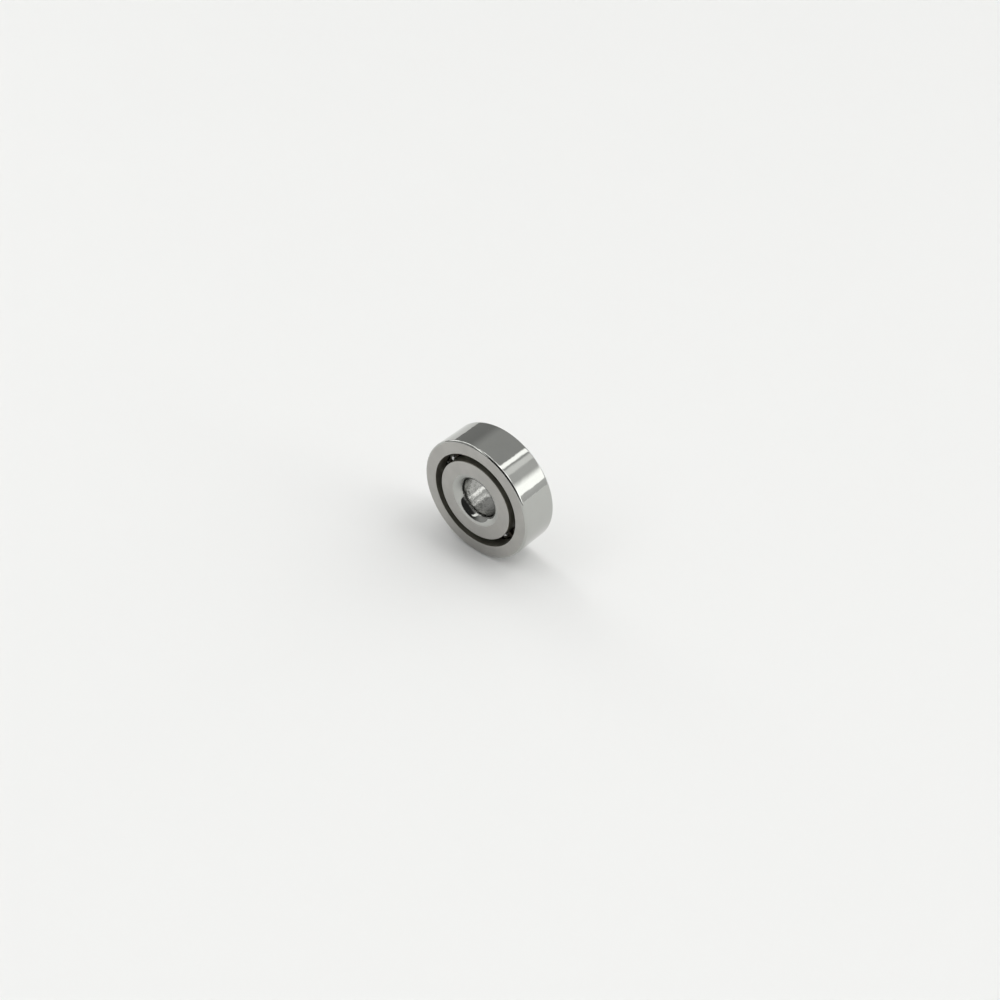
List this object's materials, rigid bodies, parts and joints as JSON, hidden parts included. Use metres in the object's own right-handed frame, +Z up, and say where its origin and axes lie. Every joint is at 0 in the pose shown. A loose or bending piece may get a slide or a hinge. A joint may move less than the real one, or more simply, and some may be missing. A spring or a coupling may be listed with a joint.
{
  "type": "ball bearing",
  "caption": "Open single-row deep-groove ball bearing: plain outer and inner rings, a ring of steel balls and a one-piece crown cage; carries a shaft in a housing.",
  "frame": {"origin": "middle of the bearing: on its axis, half way across its width", "axes": "+Y along the bearing axis, with the front face towards -Y; +Z up, the bearing standing on its rim"},
  "size_m": [0.016, 0.005, 0.016],
  "materials": {
    "outer_ring_steel": "ground bearing steel, satin side faces and a mirror-bright rim",
    "inner_ring_steel": "ground bearing steel, satin side faces and a bright honed bore",
    "ball_steel": "lapped, mirror-bright bearing steel",
    "cage_resin": "dark brown moulded resin, slightly oily"
  },
  "bodies": {
    "outer_ring": {"outer_ring": "outer_ring_steel"},
    "inner_ring": {"inner_ring": "inner_ring_steel"},
    "cage": {"cage": "cage_resin"},
    "ball_01": {"ball_01": "ball_steel"},
    "ball_02": {"ball_02": "ball_steel"},
    "ball_03": {"ball_03": "ball_steel"},
    "ball_04": {"ball_04": "ball_steel"},
    "ball_05": {"ball_05": "ball_steel"},
    "ball_06": {"ball_06": "ball_steel"},
    "ball_07": {"ball_07": "ball_steel"},
    "ball_08": {"ball_08": "ball_steel"},
    "ball_09": {"ball_09": "ball_steel"},
    "ball_10": {"ball_10": "ball_steel"},
    "ball_11": {"ball_11": "ball_steel"},
    "ball_12": {"ball_12": "ball_steel"}
  },
  "joints": [
    {"name": "inner_spin", "type": "hinge", "parent": "outer_ring", "child": "inner_ring", "pos_m": [0, 0, 0], "axis": [0, 1, 0], "continuous": true},
    {"name": "cage_spin", "type": "hinge", "parent": "outer_ring", "child": "cage", "pos_m": [0, 0, 0], "axis": [0, 1, 0], "continuous": true},
    {"name": "ball_01_roll", "type": "hinge", "parent": "cage", "child": "ball_01", "pos_m": [0.00581, 0, 0.00025], "axis": [0, 1, 0], "continuous": true},
    {"name": "ball_02_roll", "type": "hinge", "parent": "cage", "child": "ball_02", "pos_m": [0.00491, 0, 0.00313], "axis": [0, 1, 0], "continuous": true},
    {"name": "ball_03_roll", "type": "hinge", "parent": "cage", "child": "ball_03", "pos_m": [0.00269, 0, 0.00516], "axis": [0, 1, 0], "continuous": true},
    {"name": "ball_04_roll", "type": "hinge", "parent": "cage", "child": "ball_04", "pos_m": [-0.00025, 0, 0.00581], "axis": [0, 1, 0], "continuous": true},
    {"name": "ball_05_roll", "type": "hinge", "parent": "cage", "child": "ball_05", "pos_m": [-0.00313, 0, 0.00491], "axis": [0, 1, 0], "continuous": true},
    {"name": "ball_06_roll", "type": "hinge", "parent": "cage", "child": "ball_06", "pos_m": [-0.00516, 0, 0.00269], "axis": [0, 1, 0], "continuous": true},
    {"name": "ball_07_roll", "type": "hinge", "parent": "cage", "child": "ball_07", "pos_m": [-0.00581, 0, -0.00025], "axis": [0, 1, 0], "continuous": true},
    {"name": "ball_08_roll", "type": "hinge", "parent": "cage", "child": "ball_08", "pos_m": [-0.00491, 0, -0.00313], "axis": [0, 1, 0], "continuous": true},
    {"name": "ball_09_roll", "type": "hinge", "parent": "cage", "child": "ball_09", "pos_m": [-0.00269, 0, -0.00516], "axis": [0, 1, 0], "continuous": true},
    {"name": "ball_10_roll", "type": "hinge", "parent": "cage", "child": "ball_10", "pos_m": [0.00025, 0, -0.00581], "axis": [0, 1, 0], "continuous": true},
    {"name": "ball_11_roll", "type": "hinge", "parent": "cage", "child": "ball_11", "pos_m": [0.00313, 0, -0.00491], "axis": [0, 1, 0], "continuous": true},
    {"name": "ball_12_roll", "type": "hinge", "parent": "cage", "child": "ball_12", "pos_m": [0.00516, 0, -0.00269], "axis": [0, 1, 0], "continuous": true}
  ],
  "couplings": [
    {"joint": "cage_spin", "follows": "inner_spin", "ratio": 0.43179},
    {"joint": "ball_01_roll", "follows": "inner_spin", "ratio": -3.5968},
    {"joint": "ball_02_roll", "follows": "inner_spin", "ratio": -3.5968},
    {"joint": "ball_03_roll", "follows": "inner_spin", "ratio": -3.5968},
    {"joint": "ball_04_roll", "follows": "inner_spin", "ratio": -3.5968},
    {"joint": "ball_05_roll", "follows": "inner_spin", "ratio": -3.5968},
    {"joint": "ball_06_roll", "follows": "inner_spin", "ratio": -3.5968},
    {"joint": "ball_07_roll", "follows": "inner_spin", "ratio": -3.5968},
    {"joint": "ball_08_roll", "follows": "inner_spin", "ratio": -3.5968},
    {"joint": "ball_09_roll", "follows": "inner_spin", "ratio": -3.5968},
    {"joint": "ball_10_roll", "follows": "inner_spin", "ratio": -3.5968},
    {"joint": "ball_11_roll", "follows": "inner_spin", "ratio": -3.5968},
    {"joint": "ball_12_roll", "follows": "inner_spin", "ratio": -3.5968}
  ]
}
